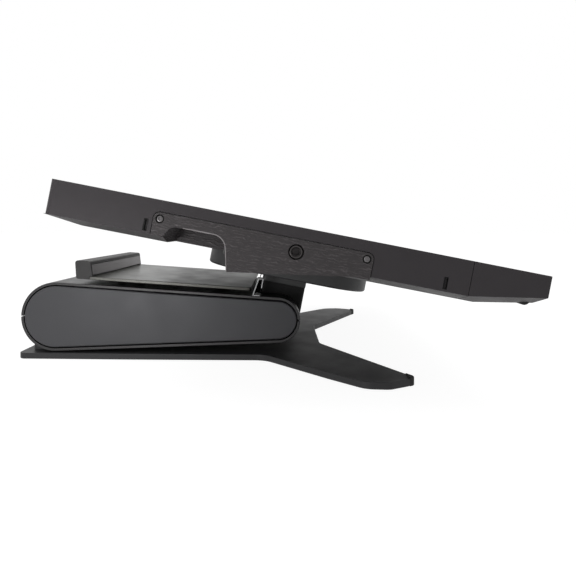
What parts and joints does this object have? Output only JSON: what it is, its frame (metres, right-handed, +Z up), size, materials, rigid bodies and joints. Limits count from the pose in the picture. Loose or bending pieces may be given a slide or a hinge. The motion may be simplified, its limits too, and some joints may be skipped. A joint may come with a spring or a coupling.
{
  "type": "graphics tablet with screen",
  "caption": "Large pen display with sprung keys in its side grips, on a lifting, tilting and turning arm that stands on a steel plate with forward legs.",
  "frame": {"origin": "on the desk, at the middle of the part's footprint", "axes": "+X the user's right, +Y away from the user, +Z up; the arm at its lowest stop"},
  "size_m": [0.6394, 0.4996, 0.1869],
  "materials": {
    "base_steel": "satin powder coat",
    "rubber": "matt",
    "hinge_steel": "brushed",
    "dark_steel": "matt black",
    "spring_steel": "bright",
    "screw_steel": "turned",
    "pulley": "machined",
    "belt": "matt",
    "arm_shell": "satin anodised",
    "arm_cover": "satin anodised",
    "bronze": "plain bearing",
    "shelf": "satin",
    "lip": "matt",
    "pad": "brushed",
    "neck_plastic": "matt",
    "friction": "plain",
    "glass": "etched",
    "panel": "matt",
    "sheet_metal": "pressed",
    "board": "solder mask",
    "casing": "fine texture",
    "grip": "grained",
    "key": "satin",
    "insert": "turned",
    "port": "matt",
    "fan": "matt"
  },
  "bodies": {
    "base": {"base_plate": "base_steel", "base_feet": "rubber", "leg_tip_caps": "rubber", "hinge_pedestal": "dark_steel", "lift_axle": "hinge_steel", "pedestal_screws": "screw_steel", "fixed_pulley": "pulley", "lift_springs": "spring_steel"},
    "arm": {"arm_frame": "dark_steel", "arm_upper_shell": "arm_shell", "arm_lower_shell": "arm_shell", "arm_side_cover_left": "arm_cover", "arm_side_cover_right": "arm_cover", "arm_bushes": "bronze", "timing_belt": "belt", "rear_shelf": "shelf", "shelf_lip": "lip", "lip_pad": "pad", "shelf_clips": "spring_steel", "shelf_posts": "hinge_steel"},
    "head_link": {"head_axle": "hinge_steel", "head_pulley": "pulley"},
    "neck": {"neck_bracket": "dark_steel", "neck_cover": "neck_plastic", "tilt_washers": "friction", "rotation_spindle": "hinge_steel", "spindle_nut": "screw_steel"},
    "display": {"cover_glass": "glass", "lcd_panel": "panel", "backlight_unit": "panel", "pen_sensor_board": "board", "chassis": "sheet_metal", "side_housing": "casing", "front_end_cover": "casing", "back_cover": "casing", "head_housing": "casing", "mount_plate": "sheet_metal", "mount_screws": "screw_steel", "rotation_hub": "pulley", "grip_left": "grip", "grip_right": "grip", "grip_screws": "screw_steel", "threaded_inserts": "insert", "key_boards": "board", "main_board": "board", "power_board": "board", "port_block": "port", "fan_housing": "fan", "display_feet": "rubber"},
    "power_button": {"power_button": "key"},
    "fan_rotor": {"fan_rotor": "fan"},
    "key_left_1": {"key_left_1": "key"},
    "key_left_2": {"key_left_2": "key"},
    "key_left_3": {"key_left_3": "key"},
    "key_left_4": {"key_left_4": "key"},
    "key_right_1": {"key_right_1": "key"},
    "key_right_2": {"key_right_2": "key"},
    "key_right_3": {"key_right_3": "key"},
    "key_right_4": {"key_right_4": "key"}
  },
  "joints": [
    {"name": "arm_lift", "type": "hinge", "parent": "base", "child": "arm", "pos_m": [0, 0.20855, 0.0486], "axis": [-1, 0, 0], "range_deg": [0, 63]},
    {"name": "head_level", "type": "hinge", "parent": "arm", "child": "head_link", "pos_m": [0, -0.0455, 0.0445], "axis": [1, 0, 0], "range_deg": [0, 101]},
    {"name": "display_tilt", "type": "hinge", "parent": "head_link", "child": "neck", "pos_m": [0, -0.0455, 0.0445], "axis": [1, 0, 0], "range_deg": [-6, 24]},
    {"name": "display_rotation", "type": "hinge", "parent": "neck", "child": "display", "pos_m": [0, -0.05472, 0.09161], "axis": [0, -0.192, 0.9814], "range_deg": [-20, 20]},
    {"name": "power_button_press", "type": "slide", "parent": "display", "child": "power_button", "axis": [0, -0.9814, -0.192], "range_m": [0, 0.0008], "stiffness_N_per_m": 500, "springref_m": -0.001},
    {"name": "fan_spin", "type": "hinge", "parent": "display", "child": "fan_rotor", "pos_m": [0.18, -0.01256, 0.13654], "axis": [0, -0.192, 0.9814], "continuous": true},
    {"name": "key_left_1_press", "type": "slide", "parent": "display", "child": "key_left_1", "axis": [0, -0.9814, -0.192], "range_m": [0, 0.0009], "stiffness_N_per_m": 500, "springref_m": -0.001},
    {"name": "key_left_2_press", "type": "slide", "parent": "display", "child": "key_left_2", "axis": [0, -0.9814, -0.192], "range_m": [0, 0.0009], "stiffness_N_per_m": 500, "springref_m": -0.001},
    {"name": "key_left_3_press", "type": "slide", "parent": "display", "child": "key_left_3", "axis": [0, -0.9814, -0.192], "range_m": [0, 0.0009], "stiffness_N_per_m": 500, "springref_m": -0.001},
    {"name": "key_left_4_press", "type": "slide", "parent": "display", "child": "key_left_4", "axis": [0, -0.9814, -0.192], "range_m": [0, 0.0009], "stiffness_N_per_m": 500, "springref_m": -0.001},
    {"name": "key_right_1_press", "type": "slide", "parent": "display", "child": "key_right_1", "axis": [0, -0.9814, -0.192], "range_m": [0, 0.0009], "stiffness_N_per_m": 500, "springref_m": -0.001},
    {"name": "key_right_2_press", "type": "slide", "parent": "display", "child": "key_right_2", "axis": [0, -0.9814, -0.192], "range_m": [0, 0.0009], "stiffness_N_per_m": 500, "springref_m": -0.001},
    {"name": "key_right_3_press", "type": "slide", "parent": "display", "child": "key_right_3", "axis": [0, -0.9814, -0.192], "range_m": [0, 0.0009], "stiffness_N_per_m": 500, "springref_m": -0.001},
    {"name": "key_right_4_press", "type": "slide", "parent": "display", "child": "key_right_4", "axis": [0, -0.9814, -0.192], "range_m": [0, 0.0009], "stiffness_N_per_m": 500, "springref_m": -0.001}
  ],
  "couplings": [
    {"joint": "head_level", "follows": "arm_lift", "ratio": 1.6}
  ]
}
